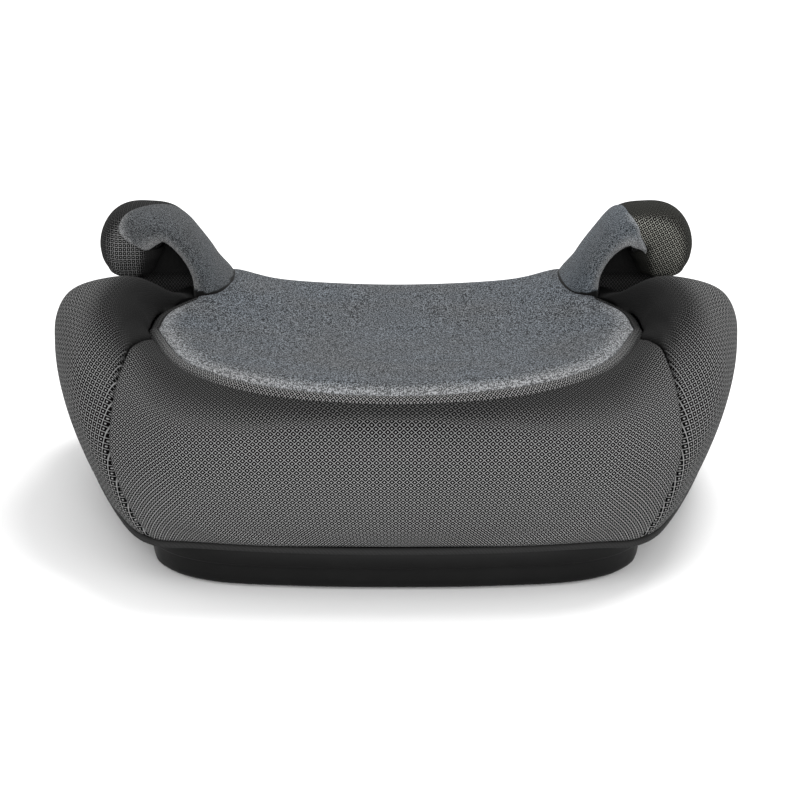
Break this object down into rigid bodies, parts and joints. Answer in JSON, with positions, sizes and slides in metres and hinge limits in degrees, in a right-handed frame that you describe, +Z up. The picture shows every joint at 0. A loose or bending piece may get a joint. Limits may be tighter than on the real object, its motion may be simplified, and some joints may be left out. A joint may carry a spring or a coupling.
{
  "type": "booster seat",
  "caption": "Backless child booster car seat: padded fabric cover over moulded shell, raised wings, hooked lap-belt horns and a black plastic tub.",
  "frame": {"origin": "centre of the ground outline of the whole seat, on the ground plane", "axes": "+X to the right seen from the front, +Y from the front edge to the back, +Z up"},
  "size_m": [0.4518, 0.3544, 0.1764],
  "materials": {
    "tub_plastic": "satin, fine moulded grain",
    "shell_plastic": "matt moulded polypropylene",
    "foot_rubber": "matt",
    "screw_steel": "zinc plated",
    "foam": "open-cell foam",
    "melange_fabric": "grey melange woven fabric",
    "jacquard_fabric": "charcoal jacquard with a fine lattice",
    "lining_fabric": "black knitted lining",
    "binding_tape": "black woven tape"
  },
  "bodies": {
    "root": {"base_tub": "tub_plastic", "rubber_feet": "foot_rubber", "tub_screws": "screw_steel", "seat_shell": "shell_plastic", "horn_screws": "screw_steel", "right_horn_arm": "shell_plastic", "left_horn_arm": "shell_plastic", "seat_foam": "foam", "front_foam": "foam", "right_wing_foam": "foam", "left_wing_foam": "foam", "back_foam": "foam", "right_horn_foam": "foam", "left_horn_foam": "foam", "seat_panel": "melange_fabric", "seat_band": "jacquard_fabric", "front_panel": "jacquard_fabric", "right_side_panel": "jacquard_fabric", "left_side_panel": "jacquard_fabric", "back_panel": "jacquard_fabric", "right_horn_facing": "melange_fabric", "left_horn_facing": "melange_fabric", "right_horn_sleeve": "jacquard_fabric", "left_horn_sleeve": "jacquard_fabric", "right_slot_lining": "lining_fabric", "left_slot_lining": "lining_fabric", "right_horn_back": "jacquard_fabric", "left_horn_back": "jacquard_fabric", "hem_binding": "binding_tape", "right_hem_flap": "lining_fabric", "left_hem_flap": "lining_fabric"}
  },
  "joints": []
}
